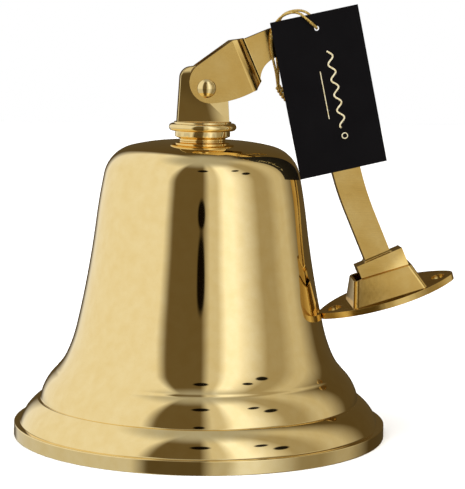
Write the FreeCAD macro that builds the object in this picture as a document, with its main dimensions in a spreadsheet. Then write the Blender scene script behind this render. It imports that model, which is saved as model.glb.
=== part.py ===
import FreeCAD, Part
import math
import os
import Sketcher

# Ship bell with a folding wall bracket. Millimetres, +Z up, origin at the centre of the mouth.
# The bell stands on its mouth. The bracket lies in the XZ plane, folded down towards +X.

Vector = FreeCAD.Vector
doc = FreeCAD.newDocument("ShipBell")

# Driving dimensions: one sheet cell each.
driving = {
    # Bell, outside, from the mouth upwards
    "mouthRadius": 101.5,
    "rimHeight": 7.4,
    "lowerBeadFoot": 98.2,
    "lowerBeadTop": 88.4,
    "lowerBeadHeight": 20.3,
    "upperBeadFoot": 87.2,
    "upperBeadTop": 78.9,
    "upperBeadHeight": 35.4,
    "beadCurve": 26.0,
    "flareFoot": 78.2,
    "flareStart": 36.4,
    "flareCurve": 27.9,
    "flareMiddle": 73.0,
    "flareMiddleHeight": 44.0,
    "waistFoot": 67.5,
    "waistFootHeight": 60.0,
    "waistTop": 57.2,
    "waistTopHeight": 118.0,
    "shoulderFoot": 53.1,
    "shoulderFootHeight": 143.0,
    "shoulderTop": 38.7,
    "shoulderTopHeight": 158.0,
    "crownFlat": 15.5,
    "crownHeight": 160.9,
    # Bell, inside
    "wall": 3.6,
    "crownWall": 5.0,
    "lipWidth": 6.0,
    "bowInside": 88.0,
    "bowHeight": 15.0,
    "beadInside": 72.8,
    "crownHole": 6.2,
    # Lug, collar and stud
    "collarRadius": 18.0,
    "collarBottom": 166.4,
    "collarTop": 170.2,
    "collarStep": 15.6,
    "lugFoot": 14.2,
    "lugShoulder": 12.6,
    "lugShoulderHeight": 195.5,
    "lugTop": 201.6,
    "lugCorner": 6.0,
    "lugThickness": 10.4,
    "studRadius": 5.9,
    "studBottom": 141.4,
    "studHole": 3.05,
    "washerRadius": 15.0,
    "washerNeck": 12.5,
    "washerNeckHeight": 163.2,
    "innerWasherRadius": 14.0,
    "innerWasherThickness": 2.5,
    "nutFlats": 19.0,
    "nutHeight": 10.0,
    # Pivot
    "pivotAcross": 1.0,
    "pivotHeight": 189.5,
    "pinRadius": 4.0,
    "pinHole": 4.05,
    "pinHeadRadius": 5.0,
    "pinHeadHeight": 3.4,
    "pinWasherRadius": 6.5,
    "pinWasherThickness": 1.0,
    "pinNutFlats": 11.0,
    "pinNutHeight": 6.0,
    # Bracket, in its own frame: X away from the pin along the clevis, Z towards the wall is down
    "bracketLean": 23.2,
    "clevisThickness": 22.0,
    "slotWidth": 11.0,
    "slotDepth": 17.0,
    "noseAcross": 3.0,
    "noseUp": 2.2,
    "noseRadius": 11.2,
    "clevisTopFoot": 0.3,
    "clevisTopFootUp": 13.08,
    "clevisEnd": 22.4,
    "clevisTop": 18.2,
    "clevisBottomFoot": -0.83,
    "clevisBottomFootUp": -8.32,
    "clevisBottom": -11.4,
    "bellyRadius": 54.0,
    "bevelEnd": 25.0,
    "bevelHalf": 10.2,
    "coveEnd": 29.2,
    "coveCurve": 7.0,
    "coveTop": 16.6,
    "coveBottom": -8.3,
    "armThickness": 8.0,
    "archAcross": 42.3,
    "archUp": -17.9,
    "archOuter": 34.0,
    "archInner": 18.5,
    "armFootOuter": 59.8,
    "armFootInner": 45.2,
    "outerStraight": -95.9,
    "innerStraight": -91.0,
    "throatAcross": 37.0,
    "footTop": -122.2,
    "footHeight": 13.0,
    "footCentre": 52.8,
    "footLength": 27.0,
    "footDepth": 12.0,
    # Wall plate, in its own frame: wall face at Z = 0, long axis along X
    "plateAcross": 104.2,
    "plateHeight": 74.2,
    "plateLean": 17.0,
    "plateThickness": 3.5,
    "plateRoll": 6.0,
    "plateAside": 1.4,
    "plateLens": 40.4,
    "plateFrontCurve": 52.5,
    "plateBackCurve": 45.0,
    "plateTip": 7.2,
    "holeSpacing": 60.0,
    "holeRadius": 3.85,
    "bossHeight": 13.3,
    "bossLength": 43.0,
    "bossDepth": 27.0,
    "bossTaper": 19.5,
    "bossCorner": 3.0,
    "pocketLength": 30.5,
    "pocketDepth": 13.6,
    "pocketFloor": 7.6,
    "recessRadius": 9.5,
    "recessDepth": 5.0,
    "footSlot": 3.9,
    "footScrewRadius": 2.5,
    "footScrewHead": 5.0,
    "footScrewHeadHeight": 2.0,
    "footScrewLength": 17.0,
    "footWasherThickness": 0.8,
    "footGap": 8.6,
    # Clapper
    "eyeHeight": 124.5,
    "eyeRadius": 6.5,
    "eyeWire": 2.0,
    "eyeShank": 3.0,
    "lockNutFlats": 10.0,
    "lockNutHeight": 5.0,
    "linkRadius": 8.0,
    "linkWire": 1.8,
    "linkGap": 0.3,
    "clapperEyeRadius": 6.0,
    "clapperEyeWire": 2.0,
    "rodRadius": 3.5,
    "ballHeight": 32.0,
    "ballRadius": 16.0,
    "tailHeight": 11.2,
    "tailRadius": 6.0,
    "tailThickness": 5.0,
    "lanyardHole": 2.6,
    # Tag on its cord
    "tagWidth": 48.0,
    "tagLength": 86.0,
    "tagThickness": 0.6,
    "tagAcross": 66.2,
    "tagFront": 16.7,
    "tagHeight": 188.2,
    "tagLean": 12.7,
    "tagTilt": 4.0,
    "tagHole": 1.3,
    "tagHoleInset": 8.0,
    "cordRadius": 0.75,
    "knotRadius": 2.2,
}


class Size:
    # A length or angle as a number, and as the sheet expression that gives it.
    def __init__(self, value, text):
        self.value = value
        self.text = text

    def combined(self, sign, other, value):
        return Size(value, "(%s %s %s)" % (self.text, sign, textOf(other)))

    def __add__(self, other):
        return self.combined("+", other, self.value + valueOf(other))

    def __sub__(self, other):
        return self.combined("-", other, self.value - valueOf(other))

    def __mul__(self, other):
        return self.combined("*", other, self.value * valueOf(other))

    def __truediv__(self, other):
        return self.combined("/", other, self.value / valueOf(other))

    def __neg__(self):
        return Size(-self.value, "(0 - %s)" % self.text)


def valueOf(item):
    return item.value if isinstance(item, Size) else float(item)


def textOf(item):
    return item.text if isinstance(item, Size) else repr(float(item))


class Sizes:
    pass


sheet = doc.addObject("Spreadsheet::Sheet", "Sizes")
size = Sizes()
for row, (alias, number) in enumerate(driving.items(), start=1):
    sheet.set("A%d" % row, alias)
    sheet.set("B%d" % row, str(number))
    sheet.setAlias("B%d" % row, alias)
    setattr(size, alias, Size(number, "Sizes." + alias))
doc.recompute()

nodes = []


def bind(thing, name, item):
    # Sets a property and ties it to the sheet.
    setattr(thing, name, valueOf(item))
    if isinstance(item, Size):
        thing.setExpression(name, item.text)


def named(thing, label, keep=True):
    thing.Label = label
    if keep:
        nodes.append(thing)
    return thing


def place(thing, x=0.0, y=0.0, z=0.0, axis=(0, 0, 1), angle=0.0):
    # Puts a sub-part in the bell's frame, its position and its turn tied to the sheet.
    base = Vector(valueOf(x), valueOf(y), valueOf(z))
    thing.Placement = FreeCAD.Placement(base, FreeCAD.Rotation(Vector(*axis), valueOf(angle)))
    for name, item in (("x", x), ("y", y), ("z", z)):
        if isinstance(item, Size):
            thing.setExpression("Placement.Base." + name, item.text)
    if isinstance(angle, Size):
        thing.setExpression("Placement.Rotation.Angle", angle.text)


def newBody(label, keep=True):
    body = doc.addObject("PartDesign::Body", "Body_" + label)
    return named(body, label, keep)


def newSketch(body, role, lift=0.0):
    # A sketch on one of its body's own origin planes, raised along the plane's normal by lift.
    sketch = body.newObject("Sketcher::SketchObject", "Sketch")
    plane = [item for item in body.Origin.OriginFeatures if item.Role == role][0]
    sketch.AttachmentSupport = (plane, [""])
    sketch.MapMode = "FlatFace"
    sketch.AttachmentOffset = FreeCAD.Placement(Vector(0, 0, valueOf(lift)), FreeCAD.Rotation())
    if isinstance(lift, Size):
        sketch.setExpression("AttachmentOffset.Base.z", lift.text)
    return sketch


def fixPoint(sketch, edge, end, x, y):
    # Ties one end of an edge to its distances from the sketch's origin.
    for kind, item, axis in (("DistanceX", x, -2), ("DistanceY", y, -1)):
        if valueOf(item) == 0.0 and not isinstance(item, Size):
            sketch.addConstraint(Sketcher.Constraint("PointOnObject", edge, end, axis))
            continue
        row = sketch.addConstraint(Sketcher.Constraint(kind, -1, 1, edge, end, valueOf(item)))
        if isinstance(item, Size):
            sketch.setExpression("Constraints[%d]" % row, item.text)


def arcThrough(start, stop, radius, side):
    # The minor arc from start to stop. side 1 bulges left of the way there, -1 right.
    chord = stop - start
    left = Vector(-chord.y, chord.x, 0).normalize()
    rise = math.sqrt(max(radius ** 2 - (chord.Length / 2) ** 2, 0.0))
    centre = (start + stop) * 0.5 - left * (side * rise)
    first, last = (stop, start) if side > 0 else (start, stop)
    fromAngle = math.atan2(first.y - centre.y, first.x - centre.x)
    toAngle = math.atan2(last.y - centre.y, last.x - centre.x)
    if toAngle < fromAngle:
        toAngle += 2 * math.pi
    return Part.ArcOfCircle(Part.Circle(centre, Vector(0, 0, 1), radius), fromAngle, toAngle)


def outline(sketch, corners, edges):
    # A closed outline. Each edge is None (a straight line), (side, radius) for an arc of
    # that radius, or "smooth" for an arc that leaves its corner along the edge before it.
    points = [Vector(valueOf(x), valueOf(y), 0) for x, y in corners]
    ends = []
    direction = None
    for index, edge in enumerate(edges):
        start = points[index]
        stop = points[(index + 1) % len(points)]
        chord = stop - start
        side = 0
        radius = 0.0
        if edge == "smooth":
            left = Vector(-direction.y, direction.x, 0)
            curve = 2 * chord.dot(left) / chord.Length ** 2
            side = -1 if curve > 0 else 1
            radius = 1 / abs(curve)
        elif edge is not None:
            side = edge[0]
            radius = valueOf(edge[1])
        if side == 0:
            sketch.addGeometry(Part.LineSegment(start, stop), False)
            direction = chord.normalize()
            ends.append((1, 2))
            continue
        arc = arcThrough(start, stop, radius, side)
        sketch.addGeometry(arc, False)
        outward = stop - arc.Center
        turn = Vector(outward.y, -outward.x, 0) if side > 0 else Vector(-outward.y, outward.x, 0)
        direction = turn.normalize()
        ends.append((2, 1) if side > 0 else (1, 2))
    count = len(points)
    for index in range(count):
        after = (index + 1) % count
        kind = "Tangent" if edges[after] == "smooth" else "Coincident"
        sketch.addConstraint(Sketcher.Constraint(kind, index, ends[index][1], after, ends[after][0]))
    for index, (x, y) in enumerate(corners):
        fixPoint(sketch, index, ends[index][0], x, y)
    for index, edge in enumerate(edges):
        if edge is None or edge == "smooth":
            continue
        row = sketch.addConstraint(Sketcher.Constraint("Radius", index, valueOf(edge[1])))
        if isinstance(edge[1], Size):
            sketch.setExpression("Constraints[%d]" % row, edge[1].text)


def circle(sketch, x, y, radius):
    edge = sketch.addGeometry(Part.Circle(Vector(valueOf(x), valueOf(y), 0), Vector(0, 0, 1), valueOf(radius)))
    fixPoint(sketch, edge, 3, x, y)
    row = sketch.addConstraint(Sketcher.Constraint("Radius", edge, valueOf(radius)))
    if isinstance(radius, Size):
        sketch.setExpression("Constraints[%d]" % row, radius.text)


def box(sketch, left, right, bottom, top):
    corners = [(left, bottom), (right, bottom), (right, top), (left, top)]
    outline(sketch, corners, [None] * 4)


def revolve(body, sketch, kind="PartDesign::Revolution"):
    # A full turn about the sketch's vertical axis.
    turn = body.newObject(kind, "Turn")
    turn.Profile = sketch
    turn.ReferenceAxis = (sketch, ["V_Axis"])
    turn.Angle = 360.0
    body.Tip = turn
    return turn


def pad(body, sketch, length, both=True, taper=0.0):
    feature = body.newObject("PartDesign::Pad", "Pad")
    feature.Profile = sketch
    bind(feature, "Length", length)
    feature.SideType = "Symmetric" if both else "One side"
    if valueOf(taper):
        bind(feature, "TaperAngle", taper)
    body.Tip = feature
    return feature


def pocket(body, sketch, length=None, both=True, flip=False):
    # Cuts right through when no length is given.
    feature = body.newObject("PartDesign::Pocket", "Pocket")
    feature.Profile = sketch
    feature.SideType = "Symmetric" if both else "One side"
    if length is None:
        feature.Type = "ThroughAll"
    else:
        bind(feature, "Length", length)
    feature.Reversed = flip
    body.Tip = feature
    return feature


def edgesWhere(feature, test):
    # Names of the edges whose middle point passes the test.
    doc.recompute()
    found = []
    for index, edge in enumerate(feature.Shape.Edges, start=1):
        middle = edge.valueAt((edge.FirstParameter + edge.LastParameter) / 2)
        if test(edge, middle):
            found.append("Edge%d" % index)
    return found


def fillet(body, base, radius, test):
    names = edgesWhere(base, test)
    feature = body.newObject("PartDesign::Fillet", "Fillet")
    feature.Base = (base, names)
    bind(feature, "Radius", radius)
    body.Tip = feature
    return feature


def cylinder(label, radius, height, keep=False):
    thing = doc.addObject("Part::Cylinder", label)
    bind(thing, "Radius", radius)
    bind(thing, "Height", height)
    return named(thing, label, keep)


def ring(label, radius, wire, keep=False):
    thing = doc.addObject("Part::Torus", label)
    bind(thing, "Radius1", radius)
    bind(thing, "Radius2", wire)
    return named(thing, label, keep)


def fused(label, parts, keep=True):
    thing = doc.addObject("Part::MultiFuse", label)
    thing.Shapes = parts
    return named(thing, label, keep)


def cut(label, base, tool, keep=True):
    thing = doc.addObject("Part::Cut", label)
    thing.Base = base
    thing.Tool = tool
    return named(thing, label, keep)


# Bell: turned outline with a straight rim, two rounded beads, a flared waist and a domed crown.
def makeBell():
    body = newBody("bell_shell")
    outer = newSketch(body, "XZ_Plane")
    corners = [
        (0, 0),
        (size.mouthRadius, 0),
        (size.mouthRadius, size.rimHeight),
        (size.lowerBeadFoot, size.rimHeight),
        (size.lowerBeadTop, size.lowerBeadHeight),
        (size.upperBeadFoot, size.lowerBeadHeight),
        (size.upperBeadTop, size.upperBeadHeight),
        (size.flareFoot, size.flareStart),
        (size.flareMiddle, size.flareMiddleHeight),
        (size.waistFoot, size.waistFootHeight),
        (size.waistTop, size.waistTopHeight),
        (size.shoulderFoot, size.shoulderFootHeight),
        (size.shoulderTop, size.shoulderTopHeight),
        (size.crownFlat, size.crownHeight),
        (0, size.crownHeight),
    ]
    bead = (-1, size.beadCurve)
    flare = (1, size.flareCurve)
    smooth = ["smooth"] * 5
    outline(outer, corners, [None, None, None, bead, None, bead, None, flare] + smooth + [None, None])
    revolve(body, outer)
    inner = newSketch(body, "XZ_Plane")
    ceiling = size.crownHeight - size.crownWall
    corners = [
        (0, 0),
        (size.mouthRadius - size.lipWidth, 0),
        (size.bowInside, size.bowHeight),
        (size.beadInside, size.upperBeadHeight),
        (size.waistFoot - size.wall, size.waistFootHeight),
        (size.waistTop - size.wall, size.waistTopHeight),
        (size.shoulderFoot - size.wall, size.shoulderFootHeight - 2.0),
        (size.shoulderTop - size.wall, ceiling - 2.4),
        (size.crownFlat, ceiling),
        (0, ceiling),
    ]
    bow = (1, 60.0)
    outline(inner, corners, [None, None, bow] + ["smooth"] * 5 + [None, None])
    revolve(body, inner, "PartDesign::Groove")
    hole = newSketch(body, "XY_Plane", size.crownHeight)
    circle(hole, 0, 0, size.crownHole)
    pocket(body, hole, size.crownWall + 2.0, both=False)


def makeCrownWasher():
    body = newBody("crown_washer")
    sketch = newSketch(body, "XZ_Plane")
    corners = [
        (size.crownHole, size.crownHeight),
        (size.washerNeck, size.crownHeight),
        (size.washerNeck, size.washerNeckHeight - 1.0),
        (size.washerRadius, size.washerNeckHeight),
        (size.washerRadius, size.collarBottom),
        (size.crownHole, size.collarBottom),
    ]
    outline(sketch, corners, [None] * 6)
    revolve(body, sketch)


# Lug: a flat eye plate on a round beaded collar, with the stud that clamps the crown.
def makeLug():
    body = newBody("crown_lug")
    round_ = newSketch(body, "XZ_Plane")
    middle = (size.collarBottom + size.collarTop) / 2.0
    bead = (-1, (size.collarTop - size.collarBottom) / 1.9)
    corners = [
        (0, size.studBottom),
        (size.studRadius, size.studBottom),
        (size.studRadius, size.collarBottom),
        (size.collarRadius - 1.0, size.collarBottom),
        (size.collarRadius - 1.0, size.collarTop),
        (size.collarStep, size.collarTop),
        (size.collarStep, size.collarTop + 1.0),
        (0, size.collarTop + 1.0),
    ]
    outline(round_, corners, [None, None, None, bead, None, None, None, None])
    revolve(body, round_)
    flat = newSketch(body, "XZ_Plane")
    shoulder = size.lugShoulderHeight
    inset = size.lugShoulder - size.lugCorner
    corners = [
        (-size.lugFoot, middle),
        (size.lugFoot, middle),
        (size.lugShoulder, shoulder),
        (inset, size.lugTop - 0.7),
        (-inset, size.lugTop - 0.7),
        (-size.lugShoulder, shoulder),
    ]
    corner = (-1, size.lugCorner + 0.4)
    outline(flat, corners, [None, None, corner, (-1, 32.0), corner, None])
    pad(body, flat, size.lugThickness)
    hole = newSketch(body, "XZ_Plane")
    circle(hole, size.pivotAcross, size.pivotHeight, size.pinHole)
    pocket(body, hole)
    tapped = newSketch(body, "XY_Plane", size.studBottom)
    circle(tapped, 0, 0, size.studHole)
    pocket(body, tapped, 11.0, both=False, flip=True)


def makeWasher(label, outerRadius, innerRadius, thickness):
    body = newBody(label)
    sketch = newSketch(body, "XY_Plane")
    circle(sketch, 0, 0, outerRadius)
    circle(sketch, 0, 0, innerRadius)
    pad(body, sketch, thickness, both=False)
    return body


# Hexagon nut: a prism with both faces chamfered by a wide cone, and a plain hole.
def makeNut(label, flats, height, bore):
    prism = doc.addObject("Part::Prism", label + "_prism")
    prism.Polygon = 6
    bind(prism, "Circumradius", flats / math.sqrt(3.0))
    bind(prism, "Height", height)
    blank = doc.addObject("Part::Cone", label + "_cone")
    bind(blank, "Radius1", flats * 0.5)
    bind(blank, "Radius2", flats * 0.5 + height * 1.7)
    bind(blank, "Height", height)
    top = doc.addObject("Part::Cone", label + "_top")
    bind(top, "Radius1", flats * 0.5 + height * 1.7)
    bind(top, "Radius2", flats * 0.5)
    bind(top, "Height", height)
    body = doc.addObject("Part::MultiCommon", label + "_blank")
    body.Shapes = [prism, blank, top]
    return cut(label, body, cylinder(label + "_bore", bore, height))


def makeCrownNuts():
    ceiling = size.crownHeight - size.crownWall
    washer = makeWasher("inner_washer", size.innerWasherRadius, size.crownHole, size.innerWasherThickness)
    place(washer, z=ceiling - size.innerWasherThickness)
    nut = makeNut("crown_nut", size.nutFlats, size.nutHeight, size.studRadius + 0.05)
    place(nut, z=ceiling - size.innerWasherThickness - size.nutHeight)
    lock = makeNut("eyebolt_locknut", size.lockNutFlats, size.lockNutHeight, size.eyeShank + 0.05)
    place(lock, z=size.studBottom - size.lockNutHeight)


# Clapper hanger: a round eye in the XZ plane on a screw that runs up into the stud.
def makeEyebolt():
    eye = ring("eyebolt_eye", size.eyeRadius, size.eyeWire)
    place(eye, z=size.eyeHeight, axis=(1, 0, 0), angle=90.0)
    foot = size.eyeHeight + size.eyeRadius
    shank = cylinder("eyebolt_shank", size.eyeShank, size.studBottom + 10.0 - foot)
    place(shank, z=foot)
    fused("clapper_eyebolt", [eye, shank])


linkPivot = size.eyeHeight - size.eyeRadius
linkTop = linkPivot + size.eyeWire + size.linkWire + size.linkGap
linkHeight = linkTop - size.linkRadius
clapperPivot = linkHeight - size.linkRadius
clapperEyeTop = clapperPivot + size.linkWire + size.clapperEyeWire + size.linkGap
clapperEyeHeight = clapperEyeTop - size.clapperEyeRadius


def makeLink():
    link = ring("clapper_link", size.linkRadius, size.linkWire, keep=True)
    place(link, z=linkHeight, axis=(0, 1, 0), angle=90.0)


# Clapper: an eye, a round rod, a ball with short cones to the rod, and a flat tail with an eye.
def makeClapper():
    eye = ring("clapper_eye", size.clapperEyeRadius, size.clapperEyeWire)
    place(eye, z=clapperEyeHeight, axis=(1, 0, 0), angle=90.0)
    rodTop = clapperEyeHeight - size.clapperEyeRadius
    rod = cylinder("clapper_rod", size.rodRadius, rodTop - size.tailHeight - size.tailRadius * 0.6)
    place(rod, z=size.tailHeight + size.tailRadius * 0.6)
    tail = cylinder("tail_disc", size.tailRadius, size.tailThickness)
    place(tail, y=size.tailThickness / 2.0, z=size.tailHeight, axis=(1, 0, 0), angle=90.0)
    solid = fused("shank_solid", [eye, rod, tail], keep=False)
    hole = cylinder("tail_hole", size.lanyardHole, size.tailThickness + 2.0)
    place(hole, y=size.tailThickness / 2.0 + 1.0, z=size.tailHeight, axis=(1, 0, 0), angle=90.0)
    cut("clapper_shank", solid, hole)
    ball = doc.addObject("Part::Sphere", "ball_solid")
    bind(ball, "Radius", size.ballRadius)
    upper = doc.addObject("Part::Cone", "ball_upper")
    bind(upper, "Radius1", size.ballRadius * 0.75)
    bind(upper, "Radius2", size.rodRadius + 1.5)
    bind(upper, "Height", size.ballRadius * 0.75)
    upper.setExpression("Placement.Base.z", (size.ballRadius * 0.62).text)
    pear = fused("ball_pear", [ball, upper], keep=False)
    bore = cylinder("ball_bore", size.rodRadius + 0.02, size.ballRadius * 4.0)
    bore.setExpression("Placement.Base.z", (-(size.ballRadius * 2.0)).text)
    clapperBall = cut("clapper_ball", pear, bore)
    place(clapperBall, z=size.ballHeight)


def isNeckFoot(edge, middle):
    # The four edges where the arm meets the top of its foot.
    inFoot = abs(middle.z - driving["footTop"]) < 0.05
    across = driving["armFootInner"] - 0.1 < middle.x < driving["armFootOuter"] + 0.1
    return inFoot and across and abs(middle.y) < driving["armThickness"] / 2 + 0.1


# Bracket: one casting. Clevis block, thinner swan-neck arm, and a rectangular foot.
def makeBracket():
    body = newBody("bracket_arm")
    block = newSketch(body, "XZ_Plane")
    corners = [
        (size.clevisTopFoot, size.clevisTopFootUp),
        (size.noseAcross - size.noseRadius, size.noseUp),
        (size.clevisBottomFoot, size.clevisBottomFootUp),
        (size.clevisEnd, size.clevisBottom),
        (size.bevelEnd, size.clevisBottom),
        (size.coveEnd + 0.3, size.coveBottom),
        (size.coveEnd + 0.3, size.coveTop),
        (size.clevisEnd, size.clevisTop),
    ]
    nose = (-1, size.noseRadius)
    outline(block, corners, [nose, nose, (-1, size.bellyRadius), None, None, None, None, None])
    pad(body, block, size.clevisThickness)
    for side in (1.0, -1.0):
        cove = newSketch(body, "XY_Plane")
        half = size.clevisThickness / 2.0
        arm = size.armThickness / 2.0
        corners = [
            (size.clevisEnd, half * side),
            (size.bevelEnd, size.bevelHalf * side),
            (size.coveEnd, arm * side),
            (size.coveEnd + 2.0, arm * side),
            (size.coveEnd + 2.0, (half + 2.0) * side),
            (size.clevisEnd, (half + 2.0) * side),
        ]
        outline(cove, corners, [None, (-side, size.coveCurve), None, None, None, None])
        pocket(body, cove)
    arm = newSketch(body, "XZ_Plane")
    lean = math.radians(driving["bracketLean"])
    outerTurn = (size.archAcross + size.archOuter * math.cos(lean), size.archUp - size.archOuter * math.sin(lean))
    innerTurn = (size.archAcross + size.archInner * math.cos(lean), size.archUp - size.archInner * math.sin(lean))
    footUnder = size.footTop - 2.0
    corners = [
        (size.bevelEnd, size.archUp + size.archOuter),
        (size.archAcross, size.archUp + size.archOuter),
        outerTurn,
        (size.armFootOuter, size.outerStraight),
        (size.armFootOuter, footUnder),
        (size.armFootInner, footUnder),
        (size.armFootInner, size.innerStraight),
        innerTurn,
        (size.throatAcross, size.archUp + size.archInner * 0.958),
        (size.coveEnd - 0.5, size.coveBottom - 0.4),
        (size.bevelEnd, size.coveBottom - 0.4),
    ]
    edges = [
        None,
        (1, size.archOuter),
        "smooth",
        None,
        None,
        None,
        (1, 165.0),
        (-1, size.archInner),
        "smooth",
        None,
        None,
    ]
    outline(arm, corners, edges)
    pad(body, arm, size.armThickness)
    foot = newSketch(body, "XZ_Plane")
    half = size.footLength / 2.0
    box(foot, size.footCentre - half, size.footCentre + half, size.footTop - size.footHeight, size.footTop)
    pad(body, foot, size.footDepth)
    slot = newSketch(body, "XY_Plane")
    across = size.slotWidth / 2.0
    box(slot, -size.noseRadius - 2.0, size.slotDepth, -across, across)
    pocket(body, slot)
    hole = newSketch(body, "XZ_Plane")
    circle(hole, 0, 0, size.pinHole)
    pocket(body, hole)
    tapped = newSketch(body, "XY_Plane", size.footTop - size.footHeight)
    circle(tapped, size.footCentre, 0, size.footScrewRadius + 0.05)
    drilled = pocket(body, tapped, size.footHeight - 2.0, both=False, flip=True)
    fillet(body, drilled, 1.8, isNeckFoot)
    place(body, x=size.pivotAcross, z=size.pivotHeight, axis=(0, -1, 0), angle=size.bracketLean)


# Pivot pin: domed head on the front ear, washer and nut behind the rear ear.
def makePin():
    body = newBody("pivot_pin")
    sketch = newSketch(body, "XZ_Plane")
    length = size.clevisThickness + size.pinWasherThickness + size.pinNutHeight + 1.5
    corners = [
        (0, -length),
        (size.pinRadius, -length),
        (size.pinRadius, 0),
        (size.pinHeadRadius, 0),
        (size.pinHeadRadius, 0.9),
        (0, size.pinHeadHeight),
    ]
    outline(sketch, corners, [None, None, None, None, (-1, size.pinHeadRadius * 1.25), None])
    revolve(body, sketch)
    place(body, x=size.pivotAcross, y=-size.clevisThickness / 2.0, z=size.pivotHeight, axis=(1, 0, 0), angle=90.0)
    washer = makeWasher("pivot_washer", size.pinWasherRadius, size.pinRadius + 0.05, size.pinWasherThickness)
    behind = size.clevisThickness / 2.0
    place(washer, x=size.pivotAcross, y=behind, z=size.pivotHeight, axis=(-1, 0, 0), angle=90.0)
    nut = makeNut("pivot_nut", size.pinNutFlats, size.pinNutHeight, size.pinRadius + 0.05)
    behind = behind + size.pinWasherThickness
    place(nut, x=size.pivotAcross, y=behind, z=size.pivotHeight, axis=(-1, 0, 0), angle=90.0)


# Wall plate: a lens-shaped flange with rounded tips and a tapered boss with an open socket.
def makePlate():
    body = newBody("wall_plate")
    flange = newSketch(body, "XY_Plane")
    front = (-1, size.plateFrontCurve)
    back = (-1, size.plateBackCurve)
    outline(flange, [(-size.plateLens, 0), (size.plateLens, 0)], [front, back])
    slab = pad(body, flange, size.plateThickness, both=False)
    tips = lambda edge, middle: abs(abs(middle.x) - driving["plateLens"]) < 0.1
    slab = fillet(body, slab, size.plateTip, tips)
    boss = newSketch(body, "XY_Plane", size.plateThickness - 0.5)
    length = size.bossLength / 2.0
    depth = size.bossDepth / 2.0
    box(boss, -length, length, -depth, depth)
    block = pad(body, boss, size.bossHeight + 0.5, both=False, taper=-size.bossTaper)
    def isBossCorner(edge, middle):
        rise = abs(edge.tangentAt(edge.FirstParameter).z)
        return middle.z > 4.0 and rise > 0.5 and abs(middle.x) < 25.0
    fillet(body, block, size.bossCorner, isBossCorner)
    socket = newSketch(body, "XY_Plane", size.plateThickness + size.bossHeight)
    length = size.pocketLength / 2.0
    depth = size.pocketDepth / 2.0
    box(socket, -length, length, -depth, depth)
    top = size.plateThickness + size.bossHeight
    pocket(body, socket, top - size.pocketFloor, both=False)
    holes = newSketch(body, "XY_Plane")
    circle(holes, -size.holeSpacing / 2.0, 0, size.holeRadius)
    circle(holes, size.holeSpacing / 2.0, 0, size.holeRadius)
    pocket(body, holes)
    recess = newSketch(body, "XY_Plane")
    circle(recess, 0, 0, size.recessRadius)
    pocket(body, recess, size.recessDepth, both=False, flip=True)
    slot = newSketch(body, "XY_Plane")
    box(slot, -size.footSlot, size.footSlot * 2.0, -size.footSlot, size.footSlot)
    pocket(body, slot)
    turn = FreeCAD.Rotation(Vector(0, -1, 0), driving["plateLean"])
    roll = FreeCAD.Rotation(Vector(1, 0, 0), driving["plateRoll"])
    base = Vector(driving["plateAcross"], driving["plateAside"], driving["plateHeight"])
    body.Placement = FreeCAD.Placement(base, turn.multiply(roll))


# Foot screw: cap head and lock washer under the plate, thread up into the foot of the arm.
def makeFootScrew():
    body = newBody("foot_screw")
    sketch = newSketch(body, "XZ_Plane")
    head = size.footScrewHeadHeight
    corners = [
        (0, -head),
        (size.footScrewHead - 0.6, -head),
        (size.footScrewHead, -head + 0.6),
        (size.footScrewHead, 0),
        (size.footScrewRadius, 0),
        (size.footScrewRadius, size.footScrewLength),
        (0, size.footScrewLength),
    ]
    outline(sketch, corners, [None] * 7)
    revolve(body, sketch)
    washer = makeWasher(
        "foot_lock_washer",
        size.footScrewHead - 0.3,
        size.footScrewRadius + 0.05,
        size.footWasherThickness,
    )
    lean = math.radians(driving["bracketLean"])
    down = driving["footTop"] - driving["footHeight"] - driving["footGap"]
    aside = driving["footCentre"]
    turn = FreeCAD.Rotation(Vector(0, -1, 0), driving["bracketLean"])
    for thing in (body, washer):
        x = driving["pivotAcross"] + aside * math.cos(lean) - down * math.sin(lean)
        z = driving["pivotHeight"] + aside * math.sin(lean) + down * math.cos(lean)
        thing.Placement = FreeCAD.Placement(Vector(x, 0, z), turn)


# Tag: a thin card in front of the arm, top to the left and towards the front.
def makeTag():
    card = doc.addObject("Part::Box", "tag_card")
    bind(card, "Length", size.tagWidth)
    bind(card, "Width", size.tagThickness)
    bind(card, "Height", size.tagLength)
    card.setExpression("Placement.Base.x", (-(size.tagWidth / 2.0)).text)
    card.setExpression("Placement.Base.y", (-(size.tagThickness / 2.0)).text)
    card.setExpression("Placement.Base.z", (-(size.tagLength / 2.0)).text)
    hole = cylinder("tag_hole", size.tagHole, 4.0)
    up = size.tagLength / 2.0 - size.tagHoleInset
    place(hole, y=2.0, z=up, axis=(1, 0, 0), angle=90.0)
    tag = cut("hang_tag", card, hole)
    turn = FreeCAD.Rotation(Vector(0, -1, 0), driving["tagLean"])
    tilt = FreeCAD.Rotation(Vector(1, 0, 0), driving["tagTilt"])
    base = Vector(driving["tagAcross"], -driving["tagFront"], driving["tagHeight"])
    tag.Placement = FreeCAD.Placement(base, turn.multiply(tilt))


# Cord: from the knot up the front of the arm, over the tag's top edge, in through its hole,
# up behind it, back over the arm and down to the knot.
cordRoute = [
    (40.6, -0.8, 190.2),
    (39.4, -3.6, 197.6),
    (37.0, -5.5, 205.4),
    (35.4, -5.8, 213.8),
    (36.4, -6.2, 222.6),
    (41.2, -10.2, 229.2),
    (48.2, -17.8, 231.2),
    (54.0, -22.2, 226.0),
    (58.0, -21.9, 222.6),
    (58.8, -17.4, 222.0),
    (57.2, -14.8, 228.0),
    (52.6, -10.2, 231.8),
    (46.4, -3.8, 231.4),
    (42.0, 3.8, 228.4),
    (40.4, 6.8, 220.6),
    (40.0, 6.2, 211.6),
    (40.8, 4.6, 203.2),
    (41.2, 2.4, 196.4),
    (41.2, 0.6, 190.4),
]


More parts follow.
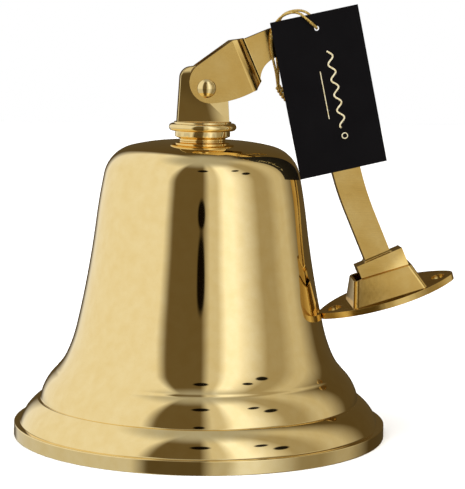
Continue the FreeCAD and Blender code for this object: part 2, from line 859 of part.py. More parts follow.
def makeCord():
    points = [Vector(*point) for point in cordRoute]
    edges = []
    radii = []
    start = points[0]
    for index in range(1, len(points) - 1):
        here = points[index]
        back = points[index - 1] - here
        ahead = points[index + 1] - here
        half = (math.pi - back.getAngle(ahead)) / 2
        reach = 0.45 * min(back.Length, ahead.Length)
        radii.append(reach / math.tan(half))
        back.normalize()
        ahead.normalize()
        enter = here + back * reach
        leave = here + ahead * reach
        inward = (back + ahead).normalize()
        centre = here + inward * (reach / math.sin(half))
        middle = centre - inward * radii[-1]
        edges.append(Part.LineSegment(start, enter).toShape())
        edges.append(Part.Arc(enter, middle, leave).toShape())
        start = leave
    edges.append(Part.LineSegment(start, points[-1]).toShape())
    path = Part.Wire(edges)
    section = Part.Circle(points[0], points[1] - points[0], driving["cordRadius"]).toShape()
    tube = path.makePipeShell([Part.Wire([section])], True, True)
    cord = doc.addObject("Part::Feature", "tag_cord")
    cord.Shape = tube
    named(cord, "tag_cord")
    ideal = math.pi * driving["cordRadius"] ** 2 * path.Length
    print("cord length %.1f, volume %.1f of %.1f" % (path.Length, tube.Volume, ideal))
    print("cord radii", [round(radius, 1) for radius in radii])


# Knot: two lumps with a short run of doubled cord between them.
def makeKnot():
    lumps = []
    first = Vector(40.9, 0.0, 190.0)
    last = Vector(46.8, -0.6, 182.6)
    for index, spot in enumerate((first, last)):
        lump = doc.addObject("Part::Sphere", "knot_lump_%d" % index)
        bind(lump, "Radius", size.knotRadius)
        lump.Placement.Base = spot
        lumps.append(lump)
    waist = cylinder("knot_waist", size.knotRadius * 0.72, 1.0)
    waist.Height = (last - first).Length
    turn = FreeCAD.Rotation(Vector(0, 0, 1), last - first)
    waist.Placement = FreeCAD.Placement(first, turn)
    lumps.append(waist)
    fused("cord_knot", lumps)


makeBell()
makeCrownWasher()
makeLug()
makeCrownNuts()
makeEyebolt()
makeLink()
makeClapper()
makeBracket()
makePin()
makePlate()
makeFootScrew()
makeTag()
makeCord()
makeKnot()
doc.recompute()

for item in doc.Objects:
    if "Invalid" in item.State or "Error" in item.State:
        raise RuntimeError("%s (%s) failed: %s" % (item.Label, item.Name, item.State))

os.makedirs("parts", exist_ok=True)
for node in nodes:
    shape = node.Shape
    if shape.isNull() or not shape.isValid():
        raise RuntimeError("bad shape: " + node.Label)
    shape.exportStep("parts/%s.step" % node.Label)
    print("%-18s %10.1f mm3, solids %d" % (node.Label, shape.Volume, len(shape.Solids)))
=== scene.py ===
import bmesh
import bpy
import math
import numpy as np
from mathutils import Matrix, Vector


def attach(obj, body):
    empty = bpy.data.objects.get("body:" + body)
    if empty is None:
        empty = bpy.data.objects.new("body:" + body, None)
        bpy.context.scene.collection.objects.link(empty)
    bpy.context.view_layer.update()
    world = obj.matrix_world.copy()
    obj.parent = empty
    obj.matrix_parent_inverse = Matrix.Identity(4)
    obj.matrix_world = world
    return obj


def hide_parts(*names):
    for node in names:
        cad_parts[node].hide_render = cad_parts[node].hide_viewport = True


# Polished brass ship bell with a swan-neck wall bracket and a black card tag on a gold cord.
# Metres, z up, origin at the centre of the mouth; the bracket lies folded towards +x.

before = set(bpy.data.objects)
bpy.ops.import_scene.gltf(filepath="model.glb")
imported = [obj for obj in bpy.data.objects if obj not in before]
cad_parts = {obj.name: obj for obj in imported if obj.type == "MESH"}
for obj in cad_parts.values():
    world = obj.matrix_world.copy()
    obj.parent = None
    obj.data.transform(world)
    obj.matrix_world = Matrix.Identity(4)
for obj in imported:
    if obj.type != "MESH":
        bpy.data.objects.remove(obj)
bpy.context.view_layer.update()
mm = 0.001


camera = {
    "place": (-0.0890, -1.0102, 0.2267),
    "tilt": 83.12,      # degrees from straight down
    "turn": -6.0,
    "roll": 0.81,
    "lens": 137.76,
}

def makeCamera():
    data = bpy.data.cameras.new("bellCamera")
    data.sensor_fit = "VERTICAL"
    data.sensor_height = 36.0
    data.lens = camera["lens"]
    eye = bpy.data.objects.new("bellCamera", data)
    turn = Matrix.Rotation(math.radians(camera["turn"]), 4, "Z")
    tilt = Matrix.Rotation(math.radians(camera["tilt"]), 4, "X")
    roll = Matrix.Rotation(math.radians(camera["roll"]), 4, "Z")
    eye.matrix_world = Matrix.Translation(camera["place"]) @ turn @ tilt @ roll
    bpy.context.collection.objects.link(eye)
    bpy.context.scene.camera = eye

makeCamera()
print("camera set")


def linearColour(code):
    # sRGB hex to linear, with alpha 1
    parts = [int(code[i:i + 2], 16) / 255 for i in (0, 2, 4)]
    return [c / 12.92 if c <= 0.04045 else ((c + 0.055) / 1.055) ** 2.4 for c in parts] + [1.0]


def addNode(tree, kind, settings=None, links=None):
    # settings: property or input name to value; links: input name to (node, output name)
    node = tree.nodes.new(kind)
    for name, value in (settings or {}).items():
        if isinstance(name, str) and hasattr(node, name):
            setattr(node, name, value)
        else:
            node.inputs[name].default_value = value
    for name, (source, output) in (links or {}).items():
        tree.links.new(source.outputs[output], node.inputs[name])
    return node


def newMaterial(name):
    material = bpy.data.materials.new(name)
    material.use_nodes = True
    tree = material.node_tree
    tree.nodes.clear()
    coords = addNode(tree, "ShaderNodeTexCoord")
    return material, tree, coords


def rampNode(tree, source, output, stops, interpolation="LINEAR"):
    ramp = addNode(tree, "ShaderNodeValToRGB", links={"Fac": (source, output)})
    ramp.color_ramp.interpolation = interpolation
    while len(ramp.color_ramp.elements) < len(stops):
        ramp.color_ramp.elements.new(0.5)
    for element, (place, colour) in zip(ramp.color_ramp.elements, stops):
        element.position = place
        element.color = linearColour(colour) if isinstance(colour, str) else [*colour, 1.0]
    return ramp


def closeMaterial(tree, shader):
    addNode(tree, "ShaderNodeOutputMaterial", links={"Surface": (shader, "BSDF")})


def newPiece(name, points, faces, body, materials, sharp=35.0):
    # points in metres in the bell's frame; smooth, with edges over the sharp angle kept
    mesh = bpy.data.meshes.new(name)
    mesh.from_pydata([tuple(p) for p in np.asarray(points, float)], [], [tuple(f) for f in faces])
    mesh.validate()
    mesh.shade_smooth()
    mesh.set_sharp_from_angle(angle=math.radians(sharp))
    piece = bpy.data.objects.new(name, mesh)
    bpy.context.collection.objects.link(piece)
    for material in materials:
        mesh.materials.append(material)
    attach(piece, body)
    return piece


def gridFaces(rows, columns, wrapRows=False, wrapColumns=False):
    # quads of a rows by columns grid of points, numbered row by row
    i = np.arange(rows if wrapRows else rows - 1)
    j = np.arange(columns if wrapColumns else columns - 1)
    i, j = np.meshgrid(i, j, indexing="ij")
    nextI, nextJ = (i + 1) % rows, (j + 1) % columns
    quads = [i * columns + j, i * columns + nextJ, nextI * columns + nextJ, nextI * columns + j]
    return np.stack(quads, -1).reshape(-1, 4).tolist()


cordSizes = {
    "diameter": 1.5 * mm,
    "length": 140.7 * mm,
    "strandRadius": 0.40 * mm,
    "strandOut": 0.36 * mm,
    "lay": 3.6 * mm,        # length of one full twist
    "strands": 3,
}
cordRoute = [
    (40.6, -0.8, 190.2), (39.4, -3.6, 197.6), (37.0, -5.5, 205.4), (35.4, -5.8, 213.8),
    (36.4, -6.2, 222.6), (41.2, -10.2, 229.2), (48.2, -17.8, 231.2), (54.0, -22.2, 226.0),
    (58.0, -21.9, 222.6), (58.8, -17.4, 222.0), (57.2, -14.8, 228.0), (52.6, -10.2, 231.8),
    (46.4, -3.8, 231.4), (42.0, 3.8, 228.4), (40.4, 6.8, 220.6), (40.0, 6.2, 211.6),
    (40.8, 4.6, 203.2), (41.2, 2.4, 196.4), (41.2, 0.6, 190.4),
]


def splinePoints(name, points, resolution=16):
    # the points that Blender itself makes along a NURBS curve through the route's corners
    curve = bpy.data.curves.new(name, "CURVE")
    curve.dimensions = "3D"
    spline = curve.splines.new("NURBS")
    spline.points.add(len(points) - 1)
    for point, corner in zip(spline.points, points):
        point.co = (corner[0] * mm, corner[1] * mm, corner[2] * mm, 1.0)
    spline.order_u = 3
    spline.use_endpoint_u = True
    spline.resolution_u = resolution
    holder = bpy.data.objects.new(name, curve)
    bpy.context.collection.objects.link(holder)
    line = bpy.data.meshes.new_from_object(holder)
    found = np.array([v.co[:] for v in line.vertices])
    bpy.data.objects.remove(holder)
    bpy.data.curves.remove(curve)
    bpy.data.meshes.remove(line)
    return found


def pathFrames(line):
    # a frame carried along the line without twist: tangent, side and up at each point
    tangent = np.gradient(line, axis=0)
    tangent /= np.linalg.norm(tangent, axis=1)[:, None]
    side = np.zeros_like(line)
    first = np.cross(tangent[0], (0.3, 0.9, 0.2))
    side[0] = first / np.linalg.norm(first)
    for k in range(1, len(line)):
        carried = side[k - 1] - tangent[k] * np.dot(side[k - 1], tangent[k])
        side[k] = carried / np.linalg.norm(carried)
    return tangent, side, np.cross(tangent, side)


def evenly(line, step):
    # the same line with points a fixed step apart along it
    along = np.concatenate([[0], np.cumsum(np.linalg.norm(np.diff(line, axis=0), axis=1))])
    places = np.linspace(0, along[-1], int(along[-1] / step) + 1)
    return np.stack([np.interp(places, along, line[:, k]) for k in range(3)], -1), places


def tubeGrid(line, radius, around=10):
    # circle of that radius carried along the line
    tangent, side, up = pathFrames(line)
    angle = np.arange(around) * 2 * math.pi / around
    ring = np.cos(angle)[None, :, None] * side[:, None] + np.sin(angle)[None, :, None] * up[:, None]
    grid = line[:, None] + ring * np.broadcast_to(radius, (len(line),))[:, None, None]
    return grid.reshape(-1, 3), gridFaces(len(line), around, wrapColumns=True)


def closedTube(line, radius, around=10):
    points, faces = tubeGrid(line, radius, around)
    faces.append(list(range(around))[::-1])
    faces.append(list(range(len(points) - around, len(points))))
    return points, [list(f)[::-1] for f in faces]


def twisted(line, places, sizes, phase):
    # helix about the line: out from it by strandOut, once round in every lay
    tangent, side, up = pathFrames(line)
    angle = (2 * math.pi * places / sizes["lay"] + phase)[:, None]
    return line + sizes["strandOut"] * (np.cos(angle) * side + np.sin(angle) * up)


def makeRope(name, line, sizes, body, material, step=0.35 * mm):
    line, places = evenly(line, step)
    points, faces, start = [], [], 0
    for strand in range(sizes["strands"]):
        phase = 2 * math.pi * strand / sizes["strands"]
        helix = twisted(line, places, sizes, phase)
        p, f = closedTube(helix, sizes["strandRadius"], 8)
        points.append(p)
        faces += [[i + start for i in face] for face in f]
        start += len(p)
    return newPiece(name, np.concatenate(points), faces, body, [material])


brass = {
    "polished": "F6DFA4",   # brass, CuZn37, buffed to a mirror: pale yellow, deep gold in the dark
    "cast": "E0BE72",       # the same alloy cast, ground and polished by hand: softer gloss
    "turned": "DDBB76",     # turned and left as machined
    "tarnish": "A87A34",
}


def makePolishedBrass():
    # mirror with the slow waves that hand buffing leaves, about 30 mm apart
    material, tree, coords = newMaterial("polishedBrass")
    waves = addNode(
        tree, "ShaderNodeTexNoise", {"Scale": 30.0, "Detail": 1.0}, {"Vector": (coords, "Object")},
    )
    haze = addNode(
        tree, "ShaderNodeTexNoise", {"Scale": 160.0, "Detail": 4.0}, {"Vector": (coords, "Object")},
    )
    gloss = addNode(tree, "ShaderNodeMapRange", {"To Min": 0.02, "To Max": 0.055}, {"Value": (haze, "Fac")})
    tint = rampNode(tree, haze, "Fac", [(0.3, "F1D797"), (0.7, brass["polished"])])
    bump = addNode(tree, "ShaderNodeBump", {"Strength": 0.12, "Distance": 0.0012}, {"Height": (waves, "Fac")})
    shader = addNode(
        tree, "ShaderNodeBsdfPrincipled", {"Metallic": 1.0},
        {"Base Color": (tint, "Color"), "Roughness": (gloss, "Result"), "Normal": (bump, "Normal")},
    )
    closeMaterial(tree, shader)
    return material


def makeCastBrass():
    # sand cast and hand polished: 2 mm dimples, faint tarnish in patches, fine grinding lines
    material, tree, coords = newMaterial("castBrass")
    patches = addNode(
        tree, "ShaderNodeTexNoise", {"Scale": 70.0, "Detail": 5.0}, {"Vector": (coords, "Object")},
    )
    dimples = addNode(
        tree, "ShaderNodeTexNoise", {"Scale": 420.0, "Detail": 3.0}, {"Vector": (coords, "Object")},
    )
    stretch = addNode(
        tree, "ShaderNodeMapping", {"Scale": (120.0, 900.0, 2600.0), "Rotation": (0.0, 0.35, 0.0)},
        {"Vector": (coords, "Object")},
    )
    lines = addNode(
        tree, "ShaderNodeTexNoise", {"Scale": 1.0, "Detail": 2.0}, {"Vector": (stretch, "Vector")},
    )
    tint = rampNode(tree, patches, "Fac", [(0.30, "D8B364"), (0.52, brass["cast"]), (0.75, "E8CA84")])
    gloss = addNode(tree, "ShaderNodeMapRange", {"To Min": 0.09, "To Max": 0.22}, {"Value": (patches, "Fac")})
    rough = addNode(
        tree, "ShaderNodeBump", {"Strength": 0.10, "Distance": 0.0002}, {"Height": (dimples, "Fac")},
    )
    bump = addNode(
        tree, "ShaderNodeBump", {"Strength": 0.10, "Distance": 0.0002},
        {"Height": (lines, "Fac"), "Normal": (rough, "Normal")},
    )
    shader = addNode(
        tree, "ShaderNodeBsdfPrincipled", {"Metallic": 1.0},
        {"Base Color": (tint, "Color"), "Roughness": (gloss, "Result"), "Normal": (bump, "Normal")},
    )
    closeMaterial(tree, shader)
    return material


def makeTurnedBrass():
    # as machined: fine rings about the axis, 0.5 mm apart, duller than the outside
    material, tree, coords = newMaterial("turnedBrass")
    rings = addNode(
        tree, "ShaderNodeTexWave",
        {"wave_type": "BANDS", "bands_direction": "Z", "Scale": 320.0, "Distortion": 0.6},
        {"Vector": (coords, "Object")},
    )
    patches = addNode(
        tree, "ShaderNodeTexNoise", {"Scale": 55.0, "Detail": 4.0}, {"Vector": (coords, "Object")},
    )
    tint = rampNode(tree, patches, "Fac", [(0.32, brass["tarnish"]), (0.6, brass["turned"])])
    bump = addNode(tree, "ShaderNodeBump", {"Strength": 0.15, "Distance": 0.0002}, {"Height": (rings, "Fac")})
    shader = addNode(
        tree, "ShaderNodeBsdfPrincipled", {"Metallic": 1.0, "Roughness": 0.34},
        {"Base Color": (tint, "Color"), "Normal": (bump, "Normal")},
    )
    closeMaterial(tree, shader)
    return material


def makeBlackCard():
    # uncoated black card, 0.6 mm: faint fibre grain and a soft sheen
    material, tree, coords = newMaterial("blackCard")
    fibre = addNode(
        tree, "ShaderNodeTexNoise", {"Scale": 2200.0, "Detail": 3.0}, {"Vector": (coords, "Object")},
    )
    cloud = addNode(
        tree, "ShaderNodeTexNoise", {"Scale": 60.0, "Detail": 3.0}, {"Vector": (coords, "Object")},
    )
    tint = rampNode(tree, cloud, "Fac", [(0.3, "040205"), (0.7, "070508")])
    bump = addNode(tree, "ShaderNodeBump", {"Strength": 0.2, "Distance": 0.00005}, {"Height": (fibre, "Fac")})
    shader = addNode(
        tree, "ShaderNodeBsdfPrincipled", {"Roughness": 0.6, "Specular IOR Level": 0.15},
        {"Base Color": (tint, "Color"), "Normal": (bump, "Normal")},
    )
    closeMaterial(tree, shader)
    return material


def makeGoldFoil():
    # hot foil print: pale gold, slightly broken where the card's fibres show
    material, tree, coords = newMaterial("goldFoil")
    grain = addNode(
        tree, "ShaderNodeTexNoise", {"Scale": 900.0, "Detail": 2.0}, {"Vector": (coords, "Object")},
    )
    tint = rampNode(tree, grain, "Fac", [(0.3, "D8C48C"), (0.6, "F4EBCB")])
    shader = addNode(
        tree, "ShaderNodeBsdfPrincipled", {"Metallic": 0.35, "Roughness": 0.42},
        {"Base Color": (tint, "Color")},
    )
    closeMaterial(tree, shader)
    return material


def makeGoldThread():
    # lurex cord: metallised film wound on thread, bright with dark gaps
    material, tree, coords = newMaterial("goldThread")
    glitter = addNode(
        tree, "ShaderNodeTexNoise", {"Scale": 1600.0, "Detail": 2.0}, {"Vector": (coords, "Object")},
    )
    tint = rampNode(tree, glitter, "Fac", [(0.3, "9C7426"), (0.5, "DDB85C"), (0.7, "FBE8A6")])
    shader = addNode(
        tree, "ShaderNodeBsdfPrincipled", {"Metallic": 0.85, "Roughness": 0.32},
        {"Base Color": (tint, "Color")},
    )
    closeMaterial(tree, shader)
    return material


polishedBrass = makePolishedBrass()
castBrass = makeCastBrass()
turnedBrass = makeTurnedBrass()
blackCard = makeBlackCard()
goldFoil = makeGoldFoil()
goldThread = makeGoldThread()
print("materials made")

rope = makeRope("tag_cord_strands", splinePoints("cordRoute", cordRoute), cordSizes, "tag", goldThread)
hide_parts("tag_cord")


knotSizes = {
    "from": (40.9, 0.0, 190.2),
    "to": (46.8, -0.6, 182.6),
    "turns": 2.5,
    "thread": 0.78,         # radius of each cord in the knot
    "coil": 1.45,
    "tails": [(48.6, -1.6, 180.9), (47.9, 0.9, 180.6)],
}


def makeKnot():
    # two cords wound round each other from the neck down to two cut ends
    start = np.array(knotSizes["from"])
    stop = np.array(knotSizes["to"])
    axis = (stop - start) / np.linalg.norm(stop - start)
    side = np.cross(axis, (0, 1, 0))
    side /= np.linalg.norm(side)
    up = np.cross(axis, side)
    points, faces, count = [], [], 0
    t = np.linspace(0, 1, 90)[:, None]
    swell = knotSizes["coil"] * (0.45 + 0.55 * np.sin(math.pi * (0.08 + 0.84 * t)) ** 0.7)
    for index, tail in enumerate(knotSizes["tails"]):
        angle = 2 * math.pi * knotSizes["turns"] * t + math.pi * index
        line = start + (stop - start) * t + swell * (np.cos(angle) * side + np.sin(angle) * up)
        line = np.concatenate([line, line[-1:] * 0.4 + np.array(tail) * 0.6, [np.array(tail)]]) * mm
        p, f = closedTube(line, knotSizes["thread"] * mm, 10)
        points.append(p)
        faces += [[i + count for i in face] for face in f]
        count += len(p)
    knot = newPiece("tag_cord_knot", np.concatenate(points), faces, "tag", [goldThread])
    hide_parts("cord_knot")
    return knot


knot = makeKnot()
routeLine = evenly(splinePoints("cordLine", cordRoute), 1.0 * mm)[0]
print("cord and knot made")


bell = {
    "around": 256,
    "edge": 0.45 * mm,      # rounding that buffing leaves on the sharp edges
}


def arcPoints(start, stop, radius, side, count):
    # minor arc from start to stop, bulging left (1) or right (-1) of the way there
    start, stop = np.array(start, float), np.array(stop, float)
    chord = stop - start
    length = np.linalg.norm(chord)
    left = np.array([-chord[1], chord[0]]) / length
    centre = (start + stop) / 2 - left * side * math.sqrt(max(radius ** 2 - length ** 2 / 4, 0))
    a = math.atan2(*(start - centre)[::-1])
    b = math.atan2(*(stop - centre)[::-1])
    sweep = (b - a + math.pi) % (2 * math.pi) - math.pi
    angle = a + sweep * np.linspace(0, 1, count)
    line = centre + radius * np.stack([np.cos(angle), np.sin(angle)], -1)
    leave = np.array([-math.sin(b), math.cos(b)]) * math.copysign(1, sweep)
    return line, leave


def smoothChain(start, direction, corners, count=22):
    # arcs through the corners, each leaving along the arc before it
    line = []
    here = np.array(start, float)
    for corner in corners:
        there = np.array(corner, float)
        chord = there - here
        left = np.array([-direction[1], direction[0]])
        curve = 2 * np.dot(chord, left) / np.dot(chord, chord)
        side = -1 if curve > 0 else 1
        part, direction = arcPoints(here, there, 1 / abs(curve), side, count)
        line.append(part[1:])
        here = there
    return np.concatenate(line)


def straight(start, stop, count):
    return np.array(start) + (np.array(stop) - np.array(start)) * np.linspace(0, 1, count)[:, None]


def bellProfile():
    outer = [straight((95.5, 0), (101.5, 0), 4)]
    outer.append(straight((101.5, 0), (101.5, 7.4), 5)[1:])
    outer.append(straight((101.5, 7.4), (98.2, 7.4), 4)[1:])
    outer.append(arcPoints((98.2, 7.4), (88.4, 20.3), 26.0, -1, 22)[0][1:])
    outer.append(straight((88.4, 20.3), (87.2, 20.3), 3)[1:])
    outer.append(arcPoints((87.2, 20.3), (78.9, 35.4), 26.0, -1, 22)[0][1:])
    outer.append(straight((78.9, 35.4), (78.2, 36.4), 3)[1:])
    flare, leave = arcPoints((78.2, 36.4), (73.0, 44.0), 27.9, 1, 14)
    outer.append(flare[1:])
    shape = [(67.5, 60.0), (57.2, 118.0), (53.1, 143.0), (38.7, 158.0), (15.5, 160.9)]
    outer.append(smoothChain((73.0, 44.0), leave, shape))
    outer.append(straight((15.5, 160.9), (6.2, 160.9), 4)[1:])
    outer.append(straight((6.2, 160.9), (6.2, 155.9), 3)[1:])
    bow, leave = arcPoints((88.0, 15.0), (72.8, 35.4), 60.0, 1, 14)
    rise = [(63.9, 60.0), (53.6, 118.0), (49.5, 141.0), (35.1, 153.5), (15.5, 155.9)]
    inner = [straight((95.5, 0), (88.0, 15.0), 5), bow[1:], smoothChain(bow[-1], leave, rise, 14)]
    inner = np.concatenate(inner)[::-1]
    outer = np.concatenate(outer)
    return np.concatenate([outer, inner[:-1]]), len(outer)


def makeBell():
    # the profile turned once round the axis
    profile, split = bellProfile()
    angle = np.arange(bell["around"]) * 2 * math.pi / bell["around"]
    radius = profile[:, 0][:, None]
    x, y = radius * np.cos(angle), radius * np.sin(angle)
    z = np.broadcast_to(profile[:, 1][:, None], x.shape)
    points = np.stack([x, y, z], -1).reshape(-1, 3) * mm
    faces = gridFaces(len(profile), bell["around"], wrapRows=True, wrapColumns=True)
    faces = [face[::-1] for face in faces]
    shell = newPiece(
        "bell_turned", points, faces, "bell", [polishedBrass, turnedBrass], 22.0,
    )
    inside = np.zeros(len(shell.data.polygons), np.int32)
    inside[split * bell["around"]:] = 1
    shell.data.polygons.foreach_set("material_index", inside)
    bevel = shell.modifiers.new("edge", "BEVEL")
    bevel.width = bell["edge"]
    bevel.segments = 3
    bevel.limit_method = "ANGLE"
    bevel.angle_limit = math.radians(30)
    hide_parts("bell_shell")


makeBell()
print("bell turned")


castings = {
    # node: (body, slot, material, rounding in mm)
    "bracket_arm": ("bracket", "cast_brass", castBrass, 0.7),
    "wall_plate": ("bracket", "cast_brass", castBrass, 0.8),
    "crown_lug": ("bell", "polished_brass", polishedBrass, 0.5),
    "crown_washer": ("bell", "polished_brass", polishedBrass, 0.3),
}
plainNodes = {
    "pivot_pin": polishedBrass,
    "clapper_ball": polishedBrass,
    "inner_washer": turnedBrass,
    "crown_nut": turnedBrass,
    "clapper_eyebolt": turnedBrass,
    "eyebolt_locknut": turnedBrass,
    "clapper_link": turnedBrass,
    "clapper_shank": turnedBrass,
    "pivot_washer": turnedBrass,
    "pivot_nut": turnedBrass,
    "foot_screw": turnedBrass,
    "foot_lock_washer": turnedBrass,
    "hang_tag": blackCard,
}


def softenedCopy(node, body, slotName, material, rounding):
    # the node's own surface, merged, with its sharp edges rounded as hand polishing does
    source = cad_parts[node]
    mesh = source.data.copy()
    bm = bmesh.new()
    bm.from_mesh(mesh)
    bmesh.ops.remove_doubles(bm, verts=bm.verts, dist=2e-6)
    bmesh.ops.dissolve_limit(bm, angle_limit=math.radians(0.6), verts=bm.verts, edges=bm.edges)
    bm.to_mesh(mesh)
    bm.free()
    if mesh.has_custom_normals:
        mesh.normals_split_custom_set_from_vertices([(0, 0, 0)] * len(mesh.vertices))
    mesh.shade_smooth()
    mesh.set_sharp_from_angle(angle=math.radians(30))
    mesh.materials.clear()
    mesh.materials.append(material)
    piece = bpy.data.objects.new(node + "_cast", mesh)
    bpy.context.collection.objects.link(piece)
    bevel = piece.modifiers.new("edge", "BEVEL")
    bevel.width = rounding * mm
    bevel.segments = 3
    bevel.limit_method = "ANGLE"
    bevel.angle_limit = math.radians(30)
    bevel.harden_normals = True
    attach(piece, body)
    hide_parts(node)


for node, facts in castings.items():
    softenedCopy(node, *facts)
for node, material in plainNodes.items():
    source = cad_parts[node]
    source.data.materials.clear()
    source.data.materials.append(material)
print("castings rounded and finished")


tag = {
    "centre": (66.2, -16.7, 188.2),
    "lean": 12.7,
    "tilt": 4.0,
    "front": 0.33,          # mm in front of the card's middle
    "foil": 0.03,           # mm thick
    "wave": {"x": 4.0, "from": -20.0, "to": 22.0, "swing": 1.6, "period": 8.4, "width": 0.9},
    "line": {"x": -2.6, "from": -14.0, "to": 12.0, "swing": 0.0, "period": 8.0, "width": 0.5},
    "ring": {"x": 4.0, "z": -24.6, "radius": 1.5, "width": 0.5},
}


def onTag(points):
    # card coordinates (across, out of the card, up) to the bell's frame, in metres
    turn = Matrix.Rotation(math.radians(-tag["lean"]), 3, "Y")
    turn = turn @ Matrix.Rotation(math.radians(tag["tilt"]), 3, "X")
    return (np.asarray(points) @ np.array(turn).T + np.array(tag["centre"])) * mm


def printBand(name, centreLine, width):
    # flat band of that width along a line in the card's plane
    tangent = np.gradient(centreLine, axis=0)
    tangent /= np.linalg.norm(tangent, axis=1)[:, None]
    across = np.stack([-tangent[:, 1], tangent[:, 0]], -1) * width / 2
    rows = np.stack([centreLine - across, centreLine + across], 1)
    depth = np.full(rows.shape[:2] + (1,), -tag["front"])
    points = np.concatenate([rows[..., :1], depth, rows[..., 1:]], -1).reshape(-1, 3)
    piece = newPiece(name, onTag(points), gridFaces(len(rows), 2), "tag", [goldFoil])
    skin = piece.modifiers.new("foil", "SOLIDIFY")
    skin.thickness = tag["foil"] * mm
    skin.offset = 0
    return piece


def makePrint():
    for name in ("wave", "line"):
        part = tag[name]
        z = np.linspace(part["from"], part["to"], 120)
        x = part["x"] + part["swing"] * np.sin(2 * math.pi * z / part["period"])
        printBand("tag_print_" + name, np.stack([x, z], -1), part["width"])
    ring = tag["ring"]
    angle = np.linspace(0, 2 * math.pi, 40)
    across = ring["x"] + ring["radius"] * np.cos(angle)
    circle = np.stack([across, ring["z"] + ring["radius"] * np.sin(angle)], -1)
    printBand("tag_print_ring", circle, ring["width"])


makePrint()
print("tag printed")


studio = {
    # walls and screens round the bell: from, to in degrees from the camera's side, brightness;
    # the light runs evenly from one to the next over the gap between them
    "panels": [
        (-180, -168, 0.10),     # open room behind
        (-156, -46, 0.90),      # white wall, left
        (-36, -4, 0.14),        # dark gap where the camera stands
        (4, 12, 0.70),          # edge of the strip light
        (20, 30, 1.20),         # strip light
        (60, 75, 0.40),         # grey screen, right
        (90, 100, 0.60),        # lighter screen beyond it
        (124, 180, 0.10),       # open room behind
    ],
    "top": 0.45,
    "low": 0.72,            # how much darker it is below the horizon
    "strength": 1.0,
    # dark things in the room: degrees round, degrees up, half width, half height
    "spots": [
        (-5.0, 11.0, 0.07, 0.055),
        (-4.0, 52.0, 0.09, 0.05),
        (56.0, 37.0, 0.09, 0.055),
        (46.0, 48.0, 0.07, 0.035),
    ],
}


def makeStudio():
    world = bpy.data.worlds.new("studio")
    bpy.context.scene.world = world
    world.use_nodes = True
    tree = world.node_tree
    tree.nodes.clear()
    coords = addNode(tree, "ShaderNodeTexCoord")
    axes = addNode(tree, "ShaderNodeSeparateXYZ", links={"Vector": (coords, "Generated")})
    back = addNode(tree, "ShaderNodeMath", {"operation": "MULTIPLY", 1: -1.0}, {0: (axes, "Y")})
    angle = addNode(tree, "ShaderNodeMath", {"operation": "ARCTAN2"}, {0: (axes, "X"), 1: (back, "Value")})
    place = addNode(
        tree, "ShaderNodeMapRange", {"From Min": -math.pi, "From Max": math.pi}, {"Value": (angle, "Value")},
    )
    # darker surroundings are warmer: green and blue fall off faster than red
    warm = lambda level: (level, level ** 1.15, level ** 1.5)
    stops = [((edge + 180) / 360, warm(level)) for *edges, level in studio["panels"] for edge in edges]
    ringColour = rampNode(tree, place, "Result", stops)
    lift = addNode(
        tree, "ShaderNodeMapRange", {"interpolation_type": "SMOOTHSTEP", "From Min": 0.85, "From Max": 1.0},
        {"Value": (axes, "Z")},
    )
    sides = addNode(
        tree, "ShaderNodeMix", {"data_type": "RGBA"},
        {"Factor": (lift, "Result")},
    )
    tree.links.new(ringColour.outputs["Color"], sides.inputs[6])
    sides.inputs[7].default_value = [studio["top"]] * 3 + [1.0]
    lower = addNode(
        tree, "ShaderNodeMapRange",
        {"interpolation_type": "SMOOTHSTEP", "From Min": -0.16, "From Max": -0.02, "To Min": studio["low"]},
        {"Value": (axes, "Z")},
    )
    dimmed = addNode(tree, "ShaderNodeVectorMath", {"operation": "SCALE"}, {"Scale": (lower, "Result")})
    tree.links.new(sides.outputs[2], dimmed.inputs[0])
    current = (dimmed, 0)
    for spot in studio["spots"]:
        turn, rise = math.radians(spot[0]), math.radians(spot[1])
        aim = (math.sin(turn) * math.cos(rise), -math.cos(turn) * math.cos(rise), math.sin(rise))
        gap = addNode(
            tree, "ShaderNodeVectorMath", {"operation": "SUBTRACT", 1: aim}, {0: (coords, "Generated")},
        )
        sized = addNode(
            tree, "ShaderNodeVectorMath",
            {"operation": "MULTIPLY", 1: (1 / spot[2], 1 / spot[2], 1 / spot[3])}, {0: (gap, "Vector")},
        )
        reach = addNode(tree, "ShaderNodeVectorMath", {"operation": "LENGTH"}, {0: (sized, "Vector")})
        dark = addNode(
            tree, "ShaderNodeMapRange", {"From Min": 0.8, "From Max": 1.15, "To Min": 0.02, "To Max": 1.0},
            {"Value": (reach, "Value")},
        )
        mix = addNode(tree, "ShaderNodeMix", {"data_type": "RGBA"}, {"Factor": (dark, "Result")})
        mix.inputs[6].default_value = linearColour("080401")
        tree.links.new(current[0].outputs[current[1]], mix.inputs[7])
        current = (mix, 2)
    inScene = addNode(tree, "ShaderNodeBackground", {"Strength": studio["strength"]})
    tree.links.new(current[0].outputs[current[1]], inScene.inputs["Color"])
    plain = addNode(tree, "ShaderNodeBackground", {"Color": (1, 1, 1, 1), "Strength": 1.0})
    rays = addNode(tree, "ShaderNodeLightPath")
    pick = addNode(
        tree, "ShaderNodeMixShader",
        links={0: (rays, "Is Camera Ray"), 1: (inScene, "Background"), 2: (plain, "Background")},
    )
    addNode(tree, "ShaderNodeOutputWorld", links={"Surface": (pick, "Shader")})


makeStudio()


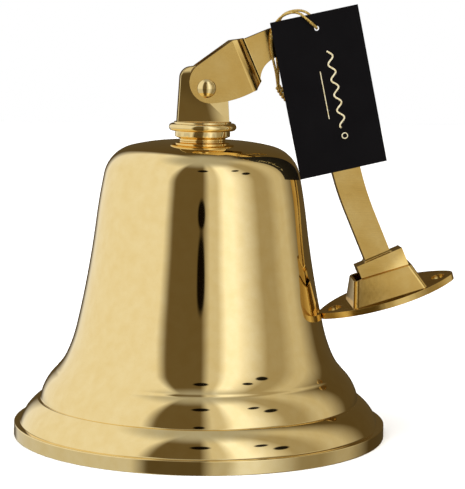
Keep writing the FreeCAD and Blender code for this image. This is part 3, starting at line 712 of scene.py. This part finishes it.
def makeFloor():
    # pale seamless floor, 6 m square
    half = 3.0
    mesh = bpy.data.meshes.new("floor")
    corners = [(-half, -half, 0), (half, -half, 0), (half, half, 0), (-half, half, 0)]
    mesh.from_pydata(corners, [], [(0, 1, 2, 3)])
    floor = bpy.data.objects.new("floor", mesh)
    bpy.context.collection.objects.link(floor)
    material, tree, coords = newMaterial("palePaper")
    tone = addNode(tree, "ShaderNodeTexNoise", {"Scale": 3.0}, {"Vector": (coords, "Object")})
    tint = rampNode(tree, tone, "Fac", [(0.3, "F7F7F7"), (0.7, "FBFBFB")])
    shader = addNode(
        tree, "ShaderNodeBsdfPrincipled", {"Roughness": 0.9, "Specular IOR Level": 0.1},
        {"Base Color": (tint, "Color")},
    )
    closeMaterial(tree, shader)
    mesh.materials.append(material)
    floor.visible_glossy = False


lamps = {
    "left": {"place": (-1.8, -1.0, 2.2), "size": 1.6, "power": 22.0},
    "right": {"place": (1.8, -0.8, 2.2), "size": 1.6, "power": 18.0},
}
sky = {"tilt": 8.0, "spread": 70.0, "strength": 2.6}


def makeLamps():
    # soft boxes and an even overhead light for the card, cord and floor;
    # the brass gets its light from the surroundings
    for name, lamp in lamps.items():
        data = bpy.data.lights.new("softbox_" + name, "AREA")
        data.size = lamp["size"]
        data.energy = lamp["power"]
        light = bpy.data.objects.new("softbox_" + name, data)
        aim = Vector((0, 0, 0.1)) - Vector(lamp["place"])
        turn = aim.to_track_quat("-Z", "Y").to_matrix().to_4x4()
        light.matrix_world = Matrix.Translation(lamp["place"]) @ turn
        light.visible_glossy = False
        bpy.context.collection.objects.link(light)
    data = bpy.data.lights.new("overhead", "SUN")
    data.angle = math.radians(sky["spread"])
    data.energy = sky["strength"]
    light = bpy.data.objects.new("overhead", data)
    light.matrix_world = Matrix.Rotation(math.radians(sky["tilt"]), 4, "X")
    light.visible_glossy = False
    bpy.context.collection.objects.link(light)


makeFloor()
makeLamps()
bpy.context.scene.view_settings.view_transform = "Standard"
print("studio lit")
